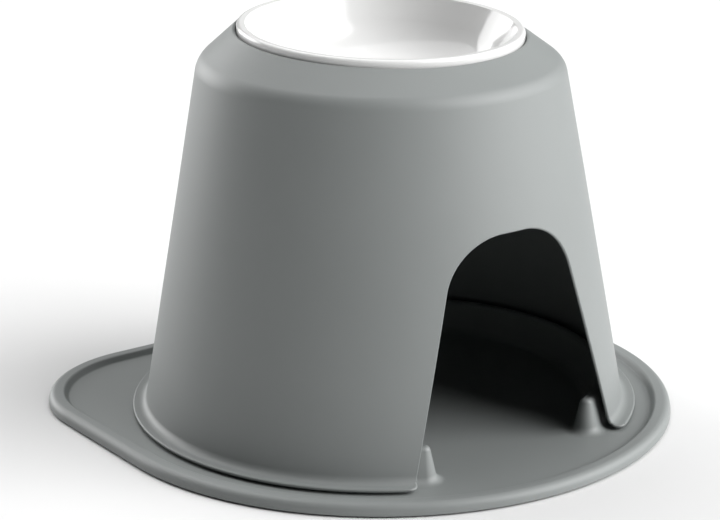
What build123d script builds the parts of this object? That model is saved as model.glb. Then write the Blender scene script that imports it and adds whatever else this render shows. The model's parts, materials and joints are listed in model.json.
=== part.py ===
from build123d import *
import os
from math import cos, sin, radians

os.makedirs("parts", exist_ok=True)

# A raised feeder: a hollow cone-shaped stand with a doorway, on a lipped tray, with a tilted dish on top.
# Millimetres, +Z up, ground at Z = 0, doorway towards -Y, origin under the middle of the tray.

# --- Heights above the ground ---------------------------------------------------------------------
foot_proud = 1.5  # how far the rubber feet stand below the tray's lip
floor_under = 2.5  # underside of the tray's floor
floor_top = 5.0  # top of the tray's floor
lip_top = 10.0  # crest of the tray's lip
flange_under = 7.0  # underside of the stand's flange: a 2 mm shadow gap over the floor

# --- Tray -----------------------------------------------------------------------------------------
tray_half_width = 228.0  # also the radius of the rounded front
tray_back = 215.0  # from the stand's axis to the straight back edge
tray_corner_radius = 102.0
lip_lean = 8.0  # lean of the lip's outer side, degrees
lip_outer_round = 6.0
lip_inner_round = 2.0
lip_width = 15.6  # from the outer bottom edge to the foot of the lip inside
basin_lean = 30.0  # lean of the lip's inner side, degrees
lip_wall = 3.0
lip_groove_width = 10.0
axis_y = (tray_half_width - tray_back) / 2  # the stand's axis stands this far behind the origin

# --- Ridge that centres the stand, an open ring with a gap at the doorway ---------------------------
ridge_radius = 173.0
ridge_width = 20.0
ridge_height = 26.5
ridge_draft = 12.0
ridge_gap_angle = 54.0  # angle of the gap, centred on the doorway
ridge_top_round = 4.0
ridge_core_width = 12.0  # hollow underside of the ridge
ridge_core_draft = 9.0
ridge_flare = 4.0  # the ridge's foot widens by this much on each side
recess_depth = 0.8  # shallow recess inside the ridge, with a straight threshold at the doorway
recess_radius = 157.0
threshold_half_width = 62.0
threshold_reach = 152.0  # from the stand's axis to the threshold

# --- Rubber feet ------------------------------------------------------------------------------------
foot_count = 6
foot_radius = 12.0
foot_circle = 194.0
foot_clearance = 0.3
foot_collar = 2.0
foot_chamfer = 0.5

weld = 0.5  # how far one feature of a moulding runs into the next

# --- Stand -----------------------------------------------------------------------------------------
wall = 2.4
flange_radius = 200.0
flange_thickness = 2.6
flange_fillet = 7.0
flange_edge_bevel = 0.8
flange_end_round = 8.0  # where the flange stops at the doorway
cone_base_radius = 190.4  # outer radius of the cone at the flange's underside
cone_taper = 0.1811  # radius lost per unit of height
shoulder_height = 273.1  # above the flange's underside, on the axis
shoulder_tilt = 1.35  # the shoulder leans this much towards the doorway
lean_start = 190.0  # height above the ground from which the wall leans with it
shoulder_round = 19.0
cap_rim_width = 2.0  # of the cap round the seat
shoulder_share = 0.75  # drop of the inner shoulder per unit of wall

# --- Doorway -----------------------------------------------------------------------------------------
door_half_width = 93.8  # at the flange's underside
door_lean = 0.27  # half width lost per unit of height
door_height = 171.7
door_top_round = 50.3
door_foot_round = 5.0

# --- Seat for the dish, in a plane tilted towards the doorway -----------------------------------------------
tilt = 3.6
seat_height = 295.4  # middle of the seat's plane above the flange's underside
seat_radius = 111.0
seat_depth = 4.0
seat_hole_radius = 102.0
ring_thickness = 1.2
ring_inner_radius = 103.5
ring_outer_radius = 109.0

# --- Dish --------------------------------------------------------------------------------------------
dish_radius = 110.0
dish_rise = 5.0  # the rim's top above the seat's plane
dish_band = 6.5  # width of the flat band on the rim
dish_round = 3.5
dish_wall = 3.5
dish_depth = 45.0
dish_bottom_radius = 48.0
bowl_bulge = 10.0  # the bowl's side passes this far inside its neck
bowl_bulge_depth = 21.0  # at this depth below the rim's underside


def level(z):
    """A horizontal plane on the stand's axis."""
    return Plane((0, axis_y, z))


def tray_outline():
    """D shape: a half circle in front, straight sides and a straight back with round corners."""
    w, b = tray_half_width, tray_back
    with BuildLine() as edge:
        Line((w, 0), (w, b))
        Line((w, b), (-w, b))
        Line((-w, b), (-w, 0))
        ThreePointArc((-w, 0), (0, -w), (w, 0))
    return edge


def tray_face(inset):
    """The tray's outline, drawn in by an inset."""
    with BuildSketch() as face:
        with BuildLine():
            add(tray_outline().line)
        make_face()
        back_corners = face.vertices().sort_by(Axis.Y)[-2:]
        fillet(back_corners, tray_corner_radius)
        if inset:
            offset(amount=-inset)
    return face.sketch


def ridge_slot(width):
    """Arc-shaped slot on the ridge's circle, open towards the doorway."""
    start = -90 + ridge_gap_angle / 2
    with BuildSketch() as slot:
        SlotArc(CenterArc((0, 0), ridge_radius, start, 360 - ridge_gap_angle), width)
    return slot.sketch


# === Tray =============================================================================================
stand_axis = Axis((0, axis_y, 0), (0, 0, 1))
lip_height = lip_top - foot_proud

with BuildPart() as tray:
    with BuildSketch(level(foot_proud)):
        add(tray_face(0))
    extrude(amount=lip_height, taper=lip_lean)
    fillet(tray.faces().sort_by(Axis.Z)[-1].edges(), lip_outer_round)
    # the basin
    with BuildSketch(level(floor_top)):
        add(tray_face(lip_width))
    extrude(amount=lip_height, taper=-basin_lean, mode=Mode.SUBTRACT)
    crest = tray.faces().filter_by(GeomType.PLANE).filter_by(lambda f: abs(f.center().Z - lip_top) < 0.01)
    fillet(crest[0].inner_wires()[0].edges(), lip_inner_round)
    # the lip is hollow below, and the floor stands clear of the ground
    groove_inner = lip_wall + lip_groove_width
    with BuildSketch(level(foot_proud)):
        add(tray_face(lip_wall))
        add(tray_face(groove_inner), mode=Mode.SUBTRACT)
    extrude(amount=floor_top - foot_proud, mode=Mode.SUBTRACT)
    with BuildSketch(level(foot_proud)):
        add(tray_face(groove_inner + lip_wall))
    extrude(amount=floor_under - foot_proud, mode=Mode.SUBTRACT)
    # shallow recess with its straight threshold
    with BuildSketch(level(floor_top - recess_depth)):
        with BuildSketch(mode=Mode.PRIVATE) as disc:
            Circle(recess_radius)
            with Locations((0, -threshold_reach)):
                Rectangle(2 * recess_radius, 2 * recess_radius, align=(Align.CENTER, Align.MIN), mode=Mode.INTERSECT)
            with Locations((0, -threshold_reach)):
                Rectangle(2 * threshold_half_width, threshold_reach, align=(Align.CENTER, Align.MIN))
        add(disc.sketch)
    extrude(amount=recess_depth, mode=Mode.SUBTRACT)
    # the ridge
    with BuildSketch(level(floor_under + weld)):
        add(ridge_slot(ridge_width))
    extrude(amount=ridge_height + floor_top - floor_under - weld, taper=ridge_draft)
    ridge_crest = tray.faces().sort_by(Axis.Z)[-1]
    fillet(ridge_crest.edges(), ridge_top_round)
    flare_base = floor_under + weld
    flare_height = floor_top + ridge_flare - flare_base
    with BuildSketch(level(flare_base)):
        add(ridge_slot(ridge_width + 2 * flare_height))
    extrude(amount=flare_height, taper=45)
    with BuildSketch(level(floor_under)):
        add(ridge_slot(ridge_core_width))
    extrude(amount=ridge_height - lip_wall, taper=ridge_core_draft, mode=Mode.SUBTRACT)
    # sockets for the feet
    with BuildSketch(level(foot_proud)):
        with PolarLocations(foot_circle, foot_count):
            Circle(foot_radius + foot_clearance + foot_collar)
            Circle(foot_radius + foot_clearance, mode=Mode.SUBTRACT)
    extrude(amount=floor_under - foot_proud + weld)
tray.part.label = "tray"
export_step(tray.part, "parts/tray.step")

# === Rubber feet ======================================================================================
for number in range(foot_count):
    angle = radians(360 / foot_count * number)
    with BuildPart() as foot:
        middle = (foot_circle * cos(angle), axis_y + foot_circle * sin(angle), 0)
        with BuildSketch(Plane(middle)):
            Circle(foot_radius)
        extrude(amount=floor_under)
        chamfer(foot.faces().sort_by(Axis.Z)[0].edges(), foot_chamfer)
    foot.part.label = f"foot_{number + 1}"
    export_step(foot.part, f"parts/foot_{number + 1}.step")

# === Stand ============================================================================================
shoulder_z = flange_under + shoulder_height


def tilted(z, angle):
    """A plane on the stand's axis that leans towards the doorway."""
    return Plane(origin=(0, axis_y, z), x_dir=(1, 0, 0), z_dir=(0, -sin(radians(angle)), cos(radians(angle))))


seat_plane = tilted(flange_under + seat_height, tilt)


def cone_radius(height):
    """Outer radius of the cone at a height above the flange's underside."""
    return cone_base_radius - cone_taper * height


def hood(inset, base_z):
    """Solid cone with its sloping cap, drawn in by an inset from the outer surface."""
    top_z = shoulder_z - inset * shoulder_share
    base = cone_radius(base_z - flange_under) - inset
    top = cone_radius(top_z - flange_under) - inset
    with BuildPart() as solid:
        with BuildSketch(level(base_z)):
            Circle(base)
        with BuildSketch(level(lean_start)):
            Circle(cone_radius(lean_start - flange_under) - inset)
        loft(ruled=True)
        with BuildSketch(level(lean_start)):
            Circle(cone_radius(lean_start - flange_under) - inset)
        with BuildSketch(tilted(top_z, shoulder_tilt)):
            Circle(top)
        loft(ruled=True)
        with BuildSketch(tilted(top_z, shoulder_tilt)):
            Circle(top)
        with BuildSketch(seat_plane.offset(-inset)):
            Circle(seat_radius + cap_rim_width)
        loft(ruled=True)
        shoulder = solid.edges().filter_by(GeomType.CIRCLE).sort_by(lambda e: abs(e.center().Z - top_z))[0]
        fillet(shoulder, shoulder_round - inset)
    return solid.part


with BuildPart() as stand:
    add(hood(0, floor_top))
    # flange round the foot of the cone
    with BuildSketch(level(flange_under)):
        Circle(flange_radius)
    extrude(amount=flange_thickness)
    flange_top = flange_under + flange_thickness
    rims = stand.edges().filter_by(GeomType.CIRCLE).filter_by(lambda e: abs(e.center().Z - flange_top) < 0.01)
    wall_foot, flange_edge = rims.sort_by(lambda e: e.radius)
    chamfer(flange_edge, flange_edge_bevel)
    wall_foot = (
        stand.edges()
        .filter_by(GeomType.CIRCLE)
        .filter_by(lambda e: abs(e.center().Z - flange_top) < 0.01)
        .sort_by(lambda e: e.radius)[0]
    )
    fillet(wall_foot, flange_fillet)
    add(hood(wall, floor_top), mode=Mode.SUBTRACT)
    # collar that carries the dish
    with BuildSketch(seat_plane.offset(-seat_depth - wall)):
        Circle(seat_radius + wall)
    extrude(amount=seat_depth + wall / 2)
    with BuildSketch(seat_plane.offset(-seat_depth)):
        Circle(seat_radius)
    extrude(amount=4 * seat_depth, mode=Mode.SUBTRACT)
    with BuildSketch(seat_plane.offset(-4 * seat_depth)):
        Circle(seat_hole_radius)
    extrude(amount=8 * seat_depth, mode=Mode.SUBTRACT)
    # the flange's ends are rounded off beside the doorway
    end_x = door_half_width + 1.4
    round_x = end_x + flange_end_round
    round_y = -((flange_radius - flange_end_round + 0.6) ** 2 - round_x**2) ** 0.5
    for side in (-1, 1):
        with BuildSketch(level(flange_under - 1)):
            with BuildLine():
                near = (side * end_x, round_y)
                middle = (side * (round_x - 0.5 * flange_end_round), round_y - 0.866 * flange_end_round)
                far = (side * (round_x + 0.5 * flange_end_round), round_y - 0.866 * flange_end_round)
                ThreePointArc(near, middle, far)
                Polyline(far, (far[0], -flange_radius), (0, -flange_radius), (0, round_y), near)
            make_face()
            Circle(cone_base_radius + 0.3, mode=Mode.SUBTRACT)
        extrude(amount=flange_thickness + flange_fillet + 2, mode=Mode.SUBTRACT)
    # doorway
    door_top_half = door_half_width - door_lean * door_height
    below = 6.0
    with BuildSketch(Plane.XZ.offset(-axis_y)) as doorway:
        with BuildLine():
            foot_x = door_half_width
            Polyline(
                (-foot_x - door_foot_round * 4, flange_under - below),
                (-foot_x - door_foot_round * 4, flange_under - 2),
                (-foot_x, flange_under - 2),
                (-door_top_half, flange_under + door_height),
                (door_top_half, flange_under + door_height),
                (foot_x, flange_under - 2),
                (foot_x + door_foot_round * 4, flange_under - 2),
                (foot_x + door_foot_round * 4, flange_under - below),
                close=True,
            )
        make_face()
        fillet(doorway.vertices().sort_by(Axis.Y)[-2:], door_top_round)
        feet = doorway.vertices().filter_by(lambda v: abs(abs(v.X) - foot_x) < 0.01)
        fillet(feet, door_foot_round)
    extrude(amount=tray_half_width, mode=Mode.SUBTRACT)
stand.part.label = "stand"
export_step(stand.part, "parts/stand.step")

# === Anti-slip ring under the dish's rim ==============================================================
with BuildPart() as dish_ring:
    with BuildSketch(seat_plane.offset(-seat_depth)):
        Circle(ring_outer_radius)
        Circle(ring_inner_radius, mode=Mode.SUBTRACT)
    extrude(amount=ring_thickness)
dish_ring.part.label = "dish_ring"
export_step(dish_ring.part, "parts/dish_ring.step")

# === Dish =============================================================================================
rim_under = ring_thickness - seat_depth
neck = seat_hole_radius - 1.0
bowl_edge = dish_radius - dish_band
profile_plane = Plane(origin=seat_plane.origin, x_dir=seat_plane.x_dir, z_dir=-seat_plane.y_dir)

with BuildPart() as dish:
    with BuildSketch(profile_plane) as section:
        with BuildLine():
            bottom = dish_rise - dish_depth
            under = bottom - dish_wall
            foot_r = dish_bottom_radius + dish_wall
            Line((0, under), (foot_r, under))
            Spline(
                (foot_r, under),
                (neck - bowl_bulge, rim_under - bowl_bulge_depth),
                (neck, rim_under),
                tangents=((1, 0), (0.25, 1)),
            )
            Line((neck, rim_under), (dish_radius, rim_under))
            Line((dish_radius, rim_under), (dish_radius, dish_rise - dish_round))
            RadiusArc(
                (dish_radius, dish_rise - dish_round), (dish_radius - dish_round, dish_rise), -dish_round
            )
            Line((dish_radius - dish_round, dish_rise), (bowl_edge, dish_rise))
            Spline(
                (bowl_edge, dish_rise),
                (neck - bowl_bulge - dish_wall, rim_under - bowl_bulge_depth + dish_wall / 2),
                (dish_bottom_radius, bottom),
                tangents=((-0.5, -1), (-1, 0)),
            )
            Line((dish_bottom_radius, bottom), (0, bottom))
            Line((0, bottom), (0, under))
        make_face()
    revolve(axis=Axis(seat_plane.origin, seat_plane.z_dir), revolution_arc=360)
dish.part.label = "dish"
export_step(dish.part, "parts/dish.step")
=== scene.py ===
# %% [markdown]
# # A raised feeder, modelled round its frame
# The object is a hollow cone of moulded grey plastic that stands on a lipped tray and carries a shallow white dish.
# The frame already holds every piece at its real size, so the first cell loads it.

import json
from math import acos, atan2, cos, hypot, pi, radians, sin, sqrt, tan

import bpy
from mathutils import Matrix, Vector


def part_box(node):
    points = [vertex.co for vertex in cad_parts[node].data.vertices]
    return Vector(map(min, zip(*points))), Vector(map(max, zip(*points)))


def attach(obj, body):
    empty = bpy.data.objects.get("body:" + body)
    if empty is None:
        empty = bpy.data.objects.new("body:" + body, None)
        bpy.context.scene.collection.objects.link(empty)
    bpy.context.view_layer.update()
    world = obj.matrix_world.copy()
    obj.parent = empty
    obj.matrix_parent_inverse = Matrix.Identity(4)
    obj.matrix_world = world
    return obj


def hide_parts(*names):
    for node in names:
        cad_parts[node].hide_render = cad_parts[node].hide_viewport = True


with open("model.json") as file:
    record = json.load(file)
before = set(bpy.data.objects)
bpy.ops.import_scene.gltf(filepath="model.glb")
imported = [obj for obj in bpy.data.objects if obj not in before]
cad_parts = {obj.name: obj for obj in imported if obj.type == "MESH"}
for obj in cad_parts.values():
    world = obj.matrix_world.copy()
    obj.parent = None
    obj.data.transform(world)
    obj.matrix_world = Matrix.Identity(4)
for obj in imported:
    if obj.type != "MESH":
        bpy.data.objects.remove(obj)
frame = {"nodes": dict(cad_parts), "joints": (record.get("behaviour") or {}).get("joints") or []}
bpy.context.view_layer.update()

# %% [markdown]
# Everything is placed from the frame's own boxes. The tray's front is a half circle about the stand's axis, so the
# axis stands half the tray's width behind the front, and the stand's flange reaches its highest Y. The joint that
# lifts the dish points square to the dish's tilted seat, so it also says how far the seat leans and which way.

# %% Read the main sizes from the frame
mm = 0.001
tray_low, tray_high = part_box("tray")
stand_low, stand_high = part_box("stand")
foot_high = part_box("foot_1")[1]
ring_low, ring_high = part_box("dish_ring")

half_width = tray_high.x
axis_y = tray_low.y + half_width
flange_radius = stand_high.y - axis_y
tray_back = tray_high.y - axis_y
lip_under = tray_low.z
floor_under = foot_high.z
floor_top = stand_low.z
ridge_top = tray_high.z

seat_normal = Vector(next(j for j in frame["joints"] if j["name"] == "dish_lift")["axis"]).normalized()
ring_rise = 3.4 * mm  # the seat's plane above the middle of the anti-slip ring
seat_middle = (ring_low + ring_high) / 2 + seat_normal * ring_rise
print("axis y", round(axis_y, 5), "flange radius", round(flange_radius, 5), "floor", round(floor_top, 5))
print("seat middle", [round(v, 4) for v in seat_middle])

# %% [markdown]
# ## Drawing and turning
# A turned piece starts as half of its cross-section. By hand this is one vertex that is extruded from corner to
# corner, and then spun round an axis. Real mouldings have no sharp corners, so a corner may name a radius, and it
# is drawn as a short arc. The arc is worked out from the two lines that meet there.

# %% Helpers for outlines
def round_off(corners, steps=6):
    """Replaces each corner (x, z, radius) by an arc of that radius, tangent to both of its lines."""
    points = []
    for i, (x, z, radius) in enumerate(corners):
        here = Vector((x, z))
        if not radius:
            points.append(here)
            continue
        before = Vector(corners[i - 1][:2]) - here
        after = Vector(corners[(i + 1) % len(corners)][:2]) - here
        half = before.angle(after) / 2
        reach = radius / tan(half)
        middle = here + (before.normalized() + after.normalized()).normalized() * radius / sin(half)
        first, last = here + before.normalized() * reach, here + after.normalized() * reach
        sweep = (first - middle).angle_signed(last - middle)
        for k in range(steps + 1):
            turned = (first - middle).copy()
            angle = sweep * k / steps
            c, s = cos(angle), sin(angle)
            points.append(middle + Vector((turned.x * c + turned.y * s, turned.y * c - turned.x * s)))
    return points


def begin_edit(piece, mode="VERT"):
    """Opens one piece in edit mode with nothing selected."""
    bpy.ops.object.select_all(action="DESELECT")
    piece.select_set(True)
    bpy.context.view_layer.objects.active = piece
    bpy.ops.object.mode_set(mode="EDIT")
    bpy.ops.mesh.select_mode(type=mode)
    bpy.ops.mesh.select_all(action="DESELECT")


def end_edit():
    bpy.ops.object.mode_set(mode="OBJECT")


def pick(piece, test, kind="vertices"):
    """Selects the vertices, edges or faces for which test is true. It is called in object mode."""
    for group in (piece.data.vertices, piece.data.edges, piece.data.polygons):
        group.foreach_set("select", [False] * len(group))
    group = getattr(piece.data, kind)
    chosen = [test(item) for item in group]
    group.foreach_set("select", chosen)
    return sum(chosen)


def draw(name, points, closed=False):
    """Extrudes one vertex from point to point. A closed outline ends back at its start."""
    bpy.ops.object.select_all(action="DESELECT")
    bpy.ops.mesh.primitive_plane_add(size=0.01)
    piece = bpy.context.active_object
    piece.name = piece.data.name = name
    bpy.ops.object.mode_set(mode="EDIT")
    bpy.ops.mesh.select_mode(type="VERT")
    bpy.ops.mesh.select_all(action="SELECT")
    bpy.ops.mesh.merge(type="CENTER")
    bpy.ops.transform.translate(value=points[0])
    for here, there in zip(points, points[1:] + points[:1] if closed else points[1:]):
        bpy.ops.mesh.extrude_vertices_move(TRANSFORM_OT_translate={"value": Vector(there) - Vector(here)})
    if closed:
        bpy.ops.mesh.select_all(action="SELECT")
        bpy.ops.mesh.remove_doubles(threshold=1e-6)
    end_edit()
    return piece


def spin(middle, angle=2 * pi, steps=192):
    """Spins the selected outline round an upright axis, anticlockwise from above."""
    bpy.ops.mesh.spin(steps=steps, angle=-angle, center=middle, axis=(0, 0, 1))


def close_up(piece, outwards=True):
    """Merges what a spin leaves double and turns all faces outwards."""
    begin_edit(piece)
    bpy.ops.mesh.select_all(action="SELECT")
    bpy.ops.mesh.remove_doubles(threshold=1e-6)
    bpy.ops.mesh.dissolve_degenerate(threshold=1e-6)
    bpy.ops.mesh.normals_make_consistent(inside=not outwards)
    end_edit()


def apply_modifiers(piece):
    bpy.ops.object.select_all(action="DESELECT")
    piece.select_set(True)
    bpy.context.view_layer.objects.active = piece
    for modifier in list(piece.modifiers):
        bpy.ops.object.modifier_apply(modifier=modifier.name)


def smooth(piece, limit=30):
    """Smooth shading up to an angle, with large flat faces kept flat at their edges."""
    bpy.ops.object.select_all(action="DESELECT")
    piece.select_set(True)
    bpy.context.view_layer.objects.active = piece
    bpy.ops.object.shade_smooth_by_angle(angle=radians(limit))
    weighted = piece.modifiers.new("weighted", "WEIGHTED_NORMAL")
    weighted.keep_sharp = True
    apply_modifiers(piece)


def report(piece):
    size = piece.dimensions
    print(piece.name, len(piece.data.polygons), "faces", [round(v / mm, 1) for v in size], "mm")


# %% [markdown]
# ## The stand
# One injection moulding: a cone with a flange round its foot and a sloping cap. Its cross-section is drawn as one
# closed outline, outside and inside together, so the wall has its true thickness everywhere, and is then spun.

# %% Turn the stand
wall = 2.4 * mm
flange_under = floor_top + 2 * mm
flange_top = flange_under + 2.6 * mm
cone_foot = 190.4 * mm  # outer radius of the cone at the flange's underside
cone_taper = 0.1811
shoulder_z = flange_under + 273.1 * mm
seat_z = seat_middle.z
seat_radius = 111 * mm
seat_depth = 4 * mm
seat_hole = 102 * mm
around = 240  # faces round the stand


def cone(z):
    """Outer radius of the cone at a height."""
    return cone_foot - cone_taper * (z - flange_under)


inner_shoulder_z = shoulder_z - 0.75 * wall
collar = seat_radius + wall
stand_profile = [
    (cone(flange_under) - wall, flange_under, 7 * mm + wall),
    (flange_radius, flange_under, 1.2 * mm),
    (flange_radius, flange_top, 1.3 * mm),
    (cone(flange_top), flange_top, 7 * mm),
    (cone(shoulder_z), shoulder_z, 19 * mm),
    (seat_radius + 1.5 * mm, seat_z, 1.2 * mm),
    (seat_radius, seat_z - 1.2 * mm, 0.6 * mm),
    (seat_radius, seat_z - seat_depth, 0.5 * mm),
    (seat_hole, seat_z - seat_depth, 0.8 * mm),
    (seat_hole, seat_z - seat_depth - wall, 0.8 * mm),
    (collar, seat_z - seat_depth - wall, 0),
    (collar, seat_z - wall * 1.6, 0),
    (cone(inner_shoulder_z) - wall, inner_shoulder_z, 16.6 * mm),
]
outline = [(p.x, axis_y, p.y) for p in round_off(stand_profile, 8)]
stand_shell = draw("stand_shell", outline, closed=True)
begin_edit(stand_shell)
bpy.ops.mesh.select_all(action="SELECT")
spin((0, axis_y, 0), steps=around)
end_edit()
close_up(stand_shell)
report(stand_shell)

# %% [markdown]
# The long wall is one tall face from flange to shoulder, which shades badly once the doorway cuts into it. Level
# cuts with bisect divide it into even bands.

# %% Divide the wall into bands
bands = 26
bands_low, bands_high = flange_top + 8 * mm, shoulder_z - 24 * mm  # clear of the rounded foot and shoulder
begin_edit(stand_shell)
for k in range(1, bands):
    z = bands_low + (bands_high - bands_low) * k / bands
    bpy.ops.mesh.select_all(action="SELECT")
    bpy.ops.mesh.bisect(plane_co=(0, axis_y, z), plane_no=(0, 0, 1))
end_edit()
report(stand_shell)

# %% [markdown]
# The top leans towards the doorway, so that the animal in front reaches the dish easily. The wall's rings begin to
# lean above the arch, the shoulder leans by about a third of the seat's lean, and the seat has it all. Each ring
# is turned about its own middle, a little further than the ring before, so no crease shows.

# %% Lean the top
seat_lean = atan2(seat_normal.y, seat_normal.z)
shoulder_part = 0.375  # the shoulder's share of the seat's lean
lean_start = 190 * mm
cap_edge = seat_radius + 1.5 * mm


def lean_share(z, radius):
    """A ring's share of the seat's lean, from how far up the wall and how far in over the cap it is."""
    if radius < collar + 0.1 * mm:
        return 1
    up = min(1, max(0, (z - lean_start) / (shoulder_z - lean_start)))
    inwards = min(1, max(0, (cone(shoulder_z) - radius) / (cone(shoulder_z) - cap_edge)))
    return shoulder_part * up + (1 - shoulder_part) * inwards


def lean_ring(piece, z, radius, share):
    """Leans the vertices of one level ring about its middle."""
    pick(piece, lambda v: abs(v.co.z - z) < 2e-6 and abs(hypot(v.co.x, v.co.y - axis_y) - radius) < 2e-6)
    bpy.ops.object.mode_set(mode="EDIT")
    bpy.ops.transform.rotate(value=seat_lean * share, orient_axis="X", center_override=Vector((0, axis_y, z)))
    end_edit()


high_points = [v.co for v in stand_shell.data.vertices if v.co.z > lean_start]
rings = sorted({(round(p.z, 6), round(hypot(p.x, p.y - axis_y), 6)) for p in high_points})
begin_edit(stand_shell)
end_edit()
for z, radius in rings:
    lean_ring(stand_shell, z, radius, lean_share(z, radius))
top_front = max((v.co for v in stand_shell.data.vertices if v.co.y < axis_y - 100 * mm), key=lambda c: c.z)
top_back = max((v.co for v in stand_shell.data.vertices if v.co.y > axis_y + 100 * mm), key=lambda c: c.z)
print(len(rings), "rings leaned")
print("front", round(top_front.z / mm, 1), "back", round(top_back.z / mm, 1), "mm high")

# %% [markdown]
# ## The doorway
# The arch is cut with one boolean. The cutter is the doorway's outline, drawn as an upright face and extruded
# forwards through the wall. It is cut half a wall too wide, because the real edge isn't a sharp cut: it is a full
# round, which the next cell lays along the edge as a bead as thick as the wall.

# %% Cut the doorway
door_foot = 93.8 * mm
door_lean = 0.27
door_top = flange_under + 171.7 * mm
door_round = 50.3 * mm
bead = wall / 2


def leg_line(z, grow):
    """Half of the doorway's width at a height, grown by a margin."""
    return door_foot - door_lean * (z - flange_under) + grow * sqrt(1 + door_lean**2)


def door_outline(grow, foot):
    """The doorway's outline from one foot over the arch to the other, grown by a margin."""
    top = door_top + grow
    left = [
        (-leg_line(foot, grow), foot, 0),
        (-leg_line(top, grow), top, door_round + grow),
    ]
    return left + [(-x, z, r) for x, z, r in reversed(left)]


def cut_away(piece, cutter, name):
    """Subtracts one mesh from another with an exact boolean and removes it."""
    begin_edit(cutter)
    bpy.ops.mesh.select_all(action="SELECT")
    bpy.ops.mesh.normals_make_consistent(inside=False)
    end_edit()
    cut = piece.modifiers.new(name, "BOOLEAN")
    cut.operation = "DIFFERENCE"
    cut.solver = "EXACT"
    cut.object = cutter
    apply_modifiers(piece)
    bpy.data.objects.remove(cutter)


flat = round_off(door_outline(bead, -10 * mm), 28)
cutter = draw("cutter", [(p.x, axis_y - 40 * mm, p.y) for p in flat], closed=True)
begin_edit(cutter)
bpy.ops.mesh.select_all(action="SELECT")
bpy.ops.mesh.edge_face_add()
bpy.ops.mesh.extrude_region_move(TRANSFORM_OT_translate={"value": (0, -flange_radius, 0)})
end_edit()
cut_away(stand_shell, cutter, "doorway")
report(stand_shell)

# %% [markdown]
# Beside the doorway the flange doesn't stop square. Each end is rounded off in the plane of the floor, from the
# doorway's edge out to the flange's rim. The cut runs in the middle of what becomes a rounded edge again.

# %% Round off the flange's ends
end_round = 7 * mm
end_x = leg_line(flange_under, 0) + end_round
end_y = -sqrt((flange_radius - end_round) ** 2 - end_x**2)
end_bead = (flange_top - flange_under) / 2
end_last = atan2(end_y, end_x)
end_arc = [
    Vector((end_x + (end_round - end_bead) * cos(a), end_y + (end_round - end_bead) * sin(a)))
    for a in (-pi + (end_last + pi) * k / 24 for k in range(25))
]
wall_clear = cone_foot + 0.4 * mm  # the cut keeps this far from the axis, so it never touches the wall
inner_x = door_foot - 12 * mm
cut_line = [p for p in end_arc if p.length > wall_clear] + [
    Vector((cos(end_last), sin(end_last))) * (flange_radius + 12 * mm),
    Vector((inner_x, -flange_radius - 10 * mm)),
    Vector((inner_x, -sqrt(wall_clear**2 - inner_x**2))),
]
for side in (-1, 1):
    corner = draw("corner", [(side * p.x, axis_y + p.y, floor_top - 3 * mm) for p in cut_line], closed=True)
    begin_edit(corner)
    bpy.ops.mesh.select_all(action="SELECT")
    bpy.ops.mesh.edge_face_add()
    bpy.ops.mesh.extrude_region_move(TRANSFORM_OT_translate={"value": (0, 0, 15 * mm)})
    end_edit()
    cut_away(stand_shell, corner, "flange_end")
smooth(stand_shell)
report(stand_shell)

# %% [markdown]
# The bead follows the middle of the wall. Its line starts at the flange's rim, goes round the flange's end, bends up
# into the leg and runs over the arch to the other side. Over the arch it is the doorway's outline laid onto the
# cone, so each point's depth comes from the cone's radius there. A curve with a round bevel gives it its thickness.

# %% Lay the rounded edge along the doorway
def on_wall(x, z):
    """A point of the outline, laid onto the middle of the cone's front wall."""
    radius = cone(z) - wall / 2
    return Vector((x, axis_y - sqrt(radius**2 - x**2), z))


def lay_bead(name, spots, radius):
    """A round bar of a given radius through a row of points."""
    path = bpy.data.curves.new(name, "CURVE")
    path.dimensions = "3D"
    path.bevel_depth = radius
    path.bevel_resolution = 4
    path.use_fill_caps = True
    line = path.splines.new("POLY")
    line.points.add(len(spots) - 1)
    for point, spot in zip(line.points, spots):
        point.co = (*spot, 1)
    bar = bpy.data.objects.new(name, path)
    bpy.context.scene.collection.objects.link(bar)
    bpy.ops.object.select_all(action="DESELECT")
    bar.select_set(True)
    bpy.context.view_layer.objects.active = bar
    bpy.ops.object.convert(target="MESH")
    smooth(bar, 60)
    report(bar)
    return bar


flange_middle = flange_under + end_bead
foot_bend = round_off(
    [
        (flange_radius, flange_middle, 0),
        (cone(flange_middle) - bead, flange_middle, 7 * mm + bead),
        (cone(40 * mm) - bead, 40 * mm, 0),
    ],
    12,
)[1:-1]


def end_spot(radius):
    """The point of the rounded end's line at a distance from the axis."""
    middle = Vector((end_x, end_y))
    out = middle.length
    turn = (radius**2 + out**2 - (end_round - end_bead) ** 2) / (2 * radius * out)
    angle = atan2(end_y, end_x) - acos(min(1, turn))
    return Vector((radius * cos(angle), radius * sin(angle)))


bend_radius = foot_bend[0].x  # where the flat flange begins to bend up
leg_foot = [Vector((p.x, axis_y + p.y, flange_middle)) for p in reversed(end_arc) if p.length > bend_radius]
for radius, z in foot_bend:
    if radius > end_arc[0].length:
        spot = end_spot(radius)
        leg_foot.append(Vector((spot.x, axis_y + spot.y, z)))
    else:
        x = leg_line(z, bead)
        leg_foot.append(Vector((x, axis_y - sqrt(radius**2 - x**2), z)))
flat_line = round_off(door_outline(bead, foot_bend[-1].y), 28)[::-1]
over = []
for here, there in zip(flat_line, flat_line[1:]):
    pieces = max(1, round((there - here).length / (5 * mm)))
    over += [on_wall(*here.lerp(there, k / pieces)) for k in range(pieces)]
other_foot = [Vector((-p.x, p.y, p.z)) for p in reversed(leg_foot)]
door_edge = lay_bead("door_edge", leg_foot + over[1:] + other_foot, bead)

# %% [markdown]
# ## The dish
# The dish is turned lying level, with the seat's plane at height zero, and is then put in its seat. Its rim stands
# above the seat, has a rounded outer side, a flat band and a crisp inner edge, and the bowl falls away from it.

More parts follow.
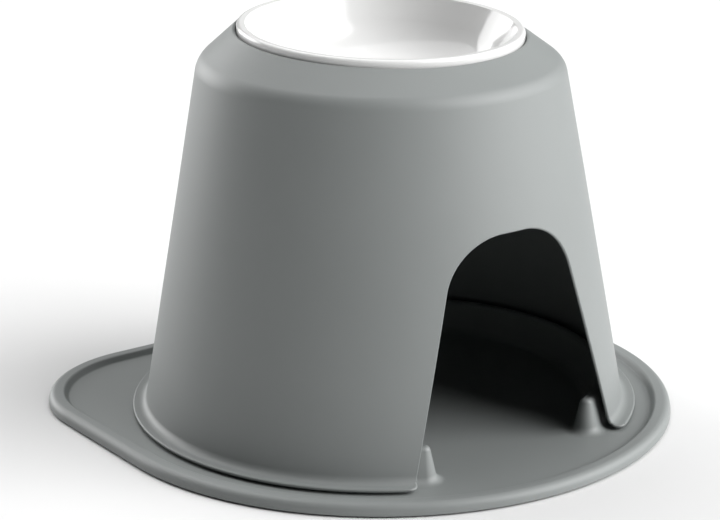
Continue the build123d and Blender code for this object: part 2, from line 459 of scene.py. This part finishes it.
# %% Turn the dish
dish_radius = 110 * mm
rim_under = -2.8 * mm
rim_top = 5 * mm
bowl_bottom = -40 * mm
dish_under = bowl_bottom - 3.5 * mm
dish_profile = [
    (0, dish_under, 0),
    (84 * mm, dish_under, 44 * mm),
    (101 * mm, rim_under, 0.6 * mm),
    (dish_radius, rim_under, 0.8 * mm),
    (dish_radius, rim_top, 2.8 * mm),
    (103.5 * mm, rim_top - 0.4 * mm, 0.5 * mm),
    (79 * mm, bowl_bottom, 50 * mm),
    (0, bowl_bottom, 0),
]
white_dish = draw("white_dish", [(p.x, 0, p.y) for p in round_off(dish_profile, 14)])
begin_edit(white_dish)
bpy.ops.mesh.select_all(action="SELECT")
spin((0, 0, 0), steps=around)
end_edit()
close_up(white_dish)
white_dish.rotation_euler = seat_normal.to_track_quat("Z", "Y").to_euler()
white_dish.location = seat_middle
bpy.ops.object.select_all(action="DESELECT")
white_dish.select_set(True)
bpy.ops.object.transform_apply(location=True, rotation=True, scale=True)
smooth(white_dish)
report(white_dish)

# %% [markdown]
# ## The tray
# Seen from above, the tray is a half circle in front with straight sides and a straight back. A rectangle becomes
# that outline when its corners are bevelled: the front ones by half its width, the back ones by less. The lip is
# then modelled with insets, step by step over its crest and down to the floor, above and below.

# %% Draw the tray's outline
tray_corner = 102 * mm
bpy.ops.object.select_all(action="DESELECT")
bpy.ops.mesh.primitive_plane_add(size=1)
tray_top = bpy.context.active_object
tray_top.name = tray_top.data.name = "lipped_tray"
bpy.ops.object.mode_set(mode="EDIT")
bpy.ops.mesh.select_all(action="SELECT")
bpy.ops.transform.resize(value=(2 * half_width, half_width + tray_back, 1))
bpy.ops.transform.translate(value=(0, axis_y + (tray_back - half_width) / 2, lip_under))
end_edit()


def round_corners(piece, test, reach, segments):
    """Rounds the chosen corners of a flat outline."""
    pick(piece, test)
    bpy.ops.object.mode_set(mode="EDIT")
    bpy.ops.mesh.select_mode(type="VERT")
    bpy.ops.mesh.bevel(offset=reach, segments=segments, profile=0.5, affect="VERTICES", clamp_overlap=False)
    bpy.ops.mesh.select_all(action="SELECT")
    bpy.ops.mesh.remove_doubles(threshold=1e-6)
    end_edit()


round_corners(tray_top, lambda v: v.co.y > axis_y, tray_corner, 28)
round_corners(tray_top, lambda v: v.co.y < axis_y - half_width / 2, half_width, 90)
begin_edit(tray_top, "FACE")
bpy.ops.mesh.select_all(action="SELECT")
bpy.ops.mesh.extrude_region_move(TRANSFORM_OT_translate={"value": (0, 0, 0.8 * mm)})
bpy.ops.mesh.select_all(action="SELECT")
bpy.ops.mesh.normals_make_consistent(inside=False)
end_edit()
report(tray_top)

# %% [markdown]
# The outline is now a thin slab. Insets on its top face climb the outer side of the lip, cross its crest and come
# down to the floor. Insets on its bottom face make the lip's groove and the underside of the floor.

# %% Model the lip with insets
def step_in(piece, profile, upwards):
    """Insets the top or bottom face along a profile of (distance from the rim, height)."""
    sign = 1 if upwards else -1
    pick(piece, lambda face: face.normal.z * sign > 0.9, "polygons")
    bpy.ops.object.mode_set(mode="EDIT")
    bpy.ops.mesh.select_mode(type="FACE")
    for here, there in zip(profile, profile[1:]):
        inwards, rise = there.x - here.x, (there.y - here.y) * sign
        bpy.ops.mesh.inset(thickness=max(inwards, 0), depth=rise, use_even_offset=True)
    end_edit()


lip_top = floor_top + 5 * mm
lip_foot = 15.6 * mm  # from the outer edge to the foot of the lip inside
inner_lean = 5 * mm * tan(radians(30))
top_profile = [
    (0, lip_under + 0.8 * mm, 0),
    (0.9 * mm, lip_top, 6 * mm),
    (lip_foot - inner_lean, lip_top, 2.6 * mm),
    (lip_foot, floor_top, 2.2 * mm),
    (lip_foot + 3 * mm, floor_top, 0),
]
step_in(tray_top, round_off(top_profile, 7), upwards=True)
groove = 5 * mm
bottom_profile = [
    (0, lip_under, 0),
    (3 * mm, lip_under, 0.5 * mm),
    (3.4 * mm, groove, 0.8 * mm),
    (12.6 * mm, groove, 0.8 * mm),
    (13 * mm, lip_under, 0.5 * mm),
    (15.8 * mm, lip_under, 0.4 * mm),
    (16 * mm, floor_under, 0),
]
step_in(tray_top, round_off(bottom_profile, 3), upwards=False)
report(tray_top)

# %% [markdown]
# Inside the ridge the floor is a little lower, and a soft straight step crosses the doorway. The cutter for it is a
# disc with one side cut straight, whose underside is inset so that the step becomes a gentle slope.

# %% Sink the floor inside the ridge
ridge_radius = 173 * mm
ridge_gap = radians(54)
recess_radius = 154 * mm
threshold = 152 * mm
threshold_half = 62 * mm
recess_depth = 1.6 * mm
recess_slope = 7 * mm
first = atan2(-sqrt(recess_radius**2 - threshold_half**2), threshold_half)
sweep = 2 * pi + 2 * (-pi / 2 - first)
turns = [first + sweep * k / 140 for k in range(141)]
rim = [(recess_radius * cos(turn), recess_radius * sin(turn)) for turn in turns]
edge = [(threshold_half, -threshold), *rim, (-threshold_half, -threshold)]
sinker = draw("sinker", [(x, axis_y + y, floor_top + 2 * mm) for x, y in edge], closed=True)
begin_edit(sinker)
bpy.ops.mesh.select_all(action="SELECT")
bpy.ops.mesh.edge_face_add()
bpy.ops.mesh.select_mode(type="FACE")
bpy.ops.mesh.extrude_region_move(TRANSFORM_OT_translate={"value": (0, 0, -2 * mm)})
bpy.ops.mesh.inset(thickness=recess_slope, depth=0, use_even_offset=True)
bpy.ops.transform.translate(value=(0, 0, -recess_depth))
end_edit()
cut_away(tray_top, sinker, "recess")
smooth(tray_top)
report(tray_top)

# %% [markdown]
# The ridge that centres the stand is a ring with a gap at the doorway. Only the outer half of its cross-section is
# drawn. It is spun along the ring, half a turn round the end, back along the inside, and half a turn round the
# other end, which rounds both ends on the way.

# %% Spin the ridge
ridge_half = 10 * mm
ridge_lean = (ridge_top - floor_top) * tan(radians(12))
ridge_profile = [
    (ridge_half + 6.4 * mm, floor_top - 1.6 * mm, 0),
    (ridge_half + 6.4 * mm, floor_top + 0.05 * mm, 0),
    (ridge_half, floor_top + 0.05 * mm, 7 * mm),
    (ridge_half - ridge_lean, ridge_top, 4 * mm),
    (0, ridge_top, 0),
]
ridge_start = -pi / 2 + ridge_gap / 2
ridge_sweep = 2 * pi - ridge_gap


def on_ridge(angle, out=0):
    """A point on the ridge's circle, or beside it."""
    return ((ridge_radius + out) * cos(angle), axis_y + (ridge_radius + out) * sin(angle))


section = [(*on_ridge(ridge_start, p.x), p.y) for p in round_off(ridge_profile, 7)]
ridge = draw("centring_ridge", section)
begin_edit(ridge)
bpy.ops.mesh.select_all(action="SELECT")
spin((0, axis_y, 0), ridge_sweep, 150)
spin((*on_ridge(ridge_start + ridge_sweep), 0), pi, 20)
spin((0, axis_y, 0), -ridge_sweep, 150)
spin((*on_ridge(ridge_start), 0), pi, 20)
end_edit()
close_up(ridge)
begin_edit(ridge, "EDGE")
bpy.ops.mesh.select_non_manifold(extend=False)
bpy.ops.mesh.edge_face_add()
bpy.ops.mesh.select_all(action="SELECT")
bpy.ops.mesh.normals_make_consistent(inside=False)
end_edit()
smooth(ridge, 40)
report(ridge)

# %% [markdown]
# ## Finishes
# The tray and the stand are the same moulded plastic: a neutral grey with a faint cool tint, satin, with the very
# fine grain of a spark-eroded mould. The grain is a small bump on the surface, and the roughness drifts a little,
# as it does where the plastic cooled slower.

# %% Helpers for finishes
def finish_base(name, colour, roughness, specular=0.5):
    """A new material with its shader's plain values set."""
    material = bpy.data.materials.new(name)
    material.use_nodes = True
    shader = material.node_tree.nodes["Principled BSDF"]
    shader.inputs["Base Color"].default_value = (*colour, 1)
    shader.inputs["Roughness"].default_value = roughness
    shader.inputs["Specular IOR Level"].default_value = specular
    return material, shader


def add_noise(material, scale, detail=3):
    """Noise in the object's own coordinates, in grains to the metre."""
    nodes, links = material.node_tree.nodes, material.node_tree.links
    place = nodes.new("ShaderNodeTexCoord")
    noise = nodes.new("ShaderNodeTexNoise")
    noise.inputs["Scale"].default_value = scale
    noise.inputs["Detail"].default_value = detail
    links.new(place.outputs["Object"], noise.inputs["Vector"])
    return noise


def add_bump(material, shader, noise, strength, depth):
    """A bump of a real depth from a noise."""
    nodes, links = material.node_tree.nodes, material.node_tree.links
    bump = nodes.new("ShaderNodeBump")
    bump.inputs["Strength"].default_value = strength
    bump.inputs["Distance"].default_value = depth
    links.new(noise.outputs["Fac"], bump.inputs["Height"])
    links.new(bump.outputs["Normal"], shader.inputs["Normal"])


def add_range(material, noise, low, high, target):
    """Maps a noise onto a range and feeds it to a socket."""
    nodes, links = material.node_tree.nodes, material.node_tree.links
    ramp = nodes.new("ShaderNodeMapRange")
    ramp.inputs["To Min"].default_value = low
    ramp.inputs["To Max"].default_value = high
    links.new(noise.outputs["Fac"], ramp.inputs["Value"])
    links.new(ramp.outputs["Result"], target)


def add_tint(material, noise, dark, light, target):
    """Mixes two near colours by a noise."""
    nodes, links = material.node_tree.nodes, material.node_tree.links
    ramp = nodes.new("ShaderNodeValToRGB")
    ramp.color_ramp.elements[0].position = 0.3
    ramp.color_ramp.elements[1].position = 0.7
    ramp.color_ramp.elements[0].color = (*dark, 1)
    ramp.color_ramp.elements[1].color = (*light, 1)
    links.new(noise.outputs["Fac"], ramp.inputs["Fac"])
    links.new(ramp.outputs["Color"], target)


def give(piece, material):
    piece.data.materials.clear()
    piece.data.materials.append(material)


# %% [markdown]
# The grain's bump is far finer than the drift, so each has its own noise. The drift serves both the roughness and
# the tint, because one cause makes both.

# %% Moulded grey plastic
grey, grey_shader = finish_base("moulded_grey", (0.205, 0.218, 0.215), 0.5)
add_bump(grey, grey_shader, add_noise(grey, 2600), 0.06, 0.05 * mm)
drift = add_noise(grey, 9)
add_range(grey, drift, 0.46, 0.54, grey_shader.inputs["Roughness"])
add_tint(grey, drift, (0.200, 0.213, 0.210), (0.210, 0.223, 0.220), grey_shader.inputs["Base Color"])
for piece in (stand_shell, door_edge, tray_top, ridge):
    give(piece, grey)

# %% [markdown]
# The dish is the only glossy piece. A slow, very low bump keeps its reflections from being perfectly straight.

# %% Glossy white dish
white, white_shader = finish_base("glossy_white", (0.7, 0.7, 0.695), 0.12)
gloss = add_noise(white, 40)
add_range(white, gloss, 0.09, 0.15, white_shader.inputs["Roughness"])
add_bump(white, white_shader, add_noise(white, 60, 1), 0.03, 0.1 * mm)
give(white_dish, white)

# %% [markdown]
# The ring and the feet keep the frame's own shapes, which are already right, and only need their finishes.

# %% Silicone ring and rubber feet
silicone, silicone_shader = finish_base("soft_silicone", (0.72, 0.72, 0.71), 0.55)
add_bump(silicone, silicone_shader, add_noise(silicone, 1500), 0.1, 0.05 * mm)
give(frame["nodes"]["dish_ring"], silicone)
rubber, rubber_shader = finish_base("foot_rubber", (0.02, 0.02, 0.021), 0.7)
add_bump(rubber, rubber_shader, add_noise(rubber, 1800), 0.2, 0.08 * mm)
for number in range(1, 7):
    give(frame["nodes"][f"foot_{number}"], rubber)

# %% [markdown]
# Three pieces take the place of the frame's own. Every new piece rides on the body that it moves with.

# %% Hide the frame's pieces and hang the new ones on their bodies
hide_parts("stand")
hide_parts("tray")
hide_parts("dish")
for piece, body, slot in (
    (stand_shell, "stand", "grey_plastic"),
    (door_edge, "stand", "grey_plastic"),
    (tray_top, "tray", "grey_plastic"),
    (ridge, "tray", "grey_plastic"),
    (white_dish, "dish", "white_gloss"),
):
    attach(piece, body)

# %% [markdown]
# ## Floor, camera and lights
# A plain pale floor carries the object. It isn't part of it.

# %% Lay the floor
bpy.ops.object.select_all(action="DESELECT")
bpy.ops.mesh.primitive_plane_add(size=40)
floor = bpy.context.active_object
floor.name = "floor"
pale, pale_shader = finish_base("pale_floor", (0.68, 0.68, 0.68), 0.9, 0.2)
cloud = add_noise(pale, 3)
add_tint(pale, cloud, (0.675, 0.675, 0.675), (0.685, 0.685, 0.685), pale_shader.inputs["Base Color"])
give(floor, pale)

# %% [markdown]
# The camera stands in front and to the left, a little above the dish, with a long lens, so the cone's sides keep
# their true taper. It looks down by a fixed angle instead of at a target, which keeps the framing where it is.

# %% Set up the camera
camera_spot = Vector((-0.9473, -1.2740, 0.6136))
camera_heading = -36.044  # degrees from +Y, clockwise is negative
camera_dip = 17.245
camera_roll = 0.613
camera_data = bpy.data.cameras.new("camera")
camera_data.lens = 106
camera = bpy.data.objects.new("camera", camera_data)
bpy.context.scene.collection.objects.link(camera)
camera.location = camera_spot
camera.rotation_euler = (radians(90 - camera_dip), radians(camera_roll), radians(camera_heading))
bpy.context.scene.camera = camera

# %% [markdown]
# Soft studio light from four sides. Two broad lights on the right, one low and one high, model the cone and the
# cap. A third, further round, fills the bright right edge. A low one behind draws the left edge, and one from high
# at the back lies on the cap and the tray. The front left is lit only by the pale floor. Each light is a far, wide
# one, so the floor stays even, and each is given by its heading, its height and its width in degrees.

# %% Place the lights
def soft_light(name, heading, height, width, strength):
    light = bpy.data.lights.new(name, "SUN")
    light.angle = radians(width)
    light.energy = strength
    lamp = bpy.data.objects.new(name, light)
    bpy.context.scene.collection.objects.link(lamp)
    turn, rise = radians(heading), radians(height)
    towards = Vector((cos(turn) * cos(rise), sin(turn) * cos(rise), sin(rise)))
    lamp.rotation_euler = towards.to_track_quat("Z", "Y").to_euler()


soft_light("right_low", -56, 10, 50, 1.6)
soft_light("right_high", -56, 40, 50, 2.9)
soft_light("right_edge", -20, 20, 50, 1.75)
soft_light("left_edge", 103, 12, 40, 2.3)
soft_light("back_high", 80, 60, 60, 1.8)
world = bpy.data.worlds.new("studio")
world.use_nodes = True
world.node_tree.nodes["Background"].inputs["Color"].default_value = (1, 1, 1, 1)
world.node_tree.nodes["Background"].inputs["Strength"].default_value = 0.03
bpy.context.scene.world = world
bpy.context.scene.view_settings.view_transform = "Standard"
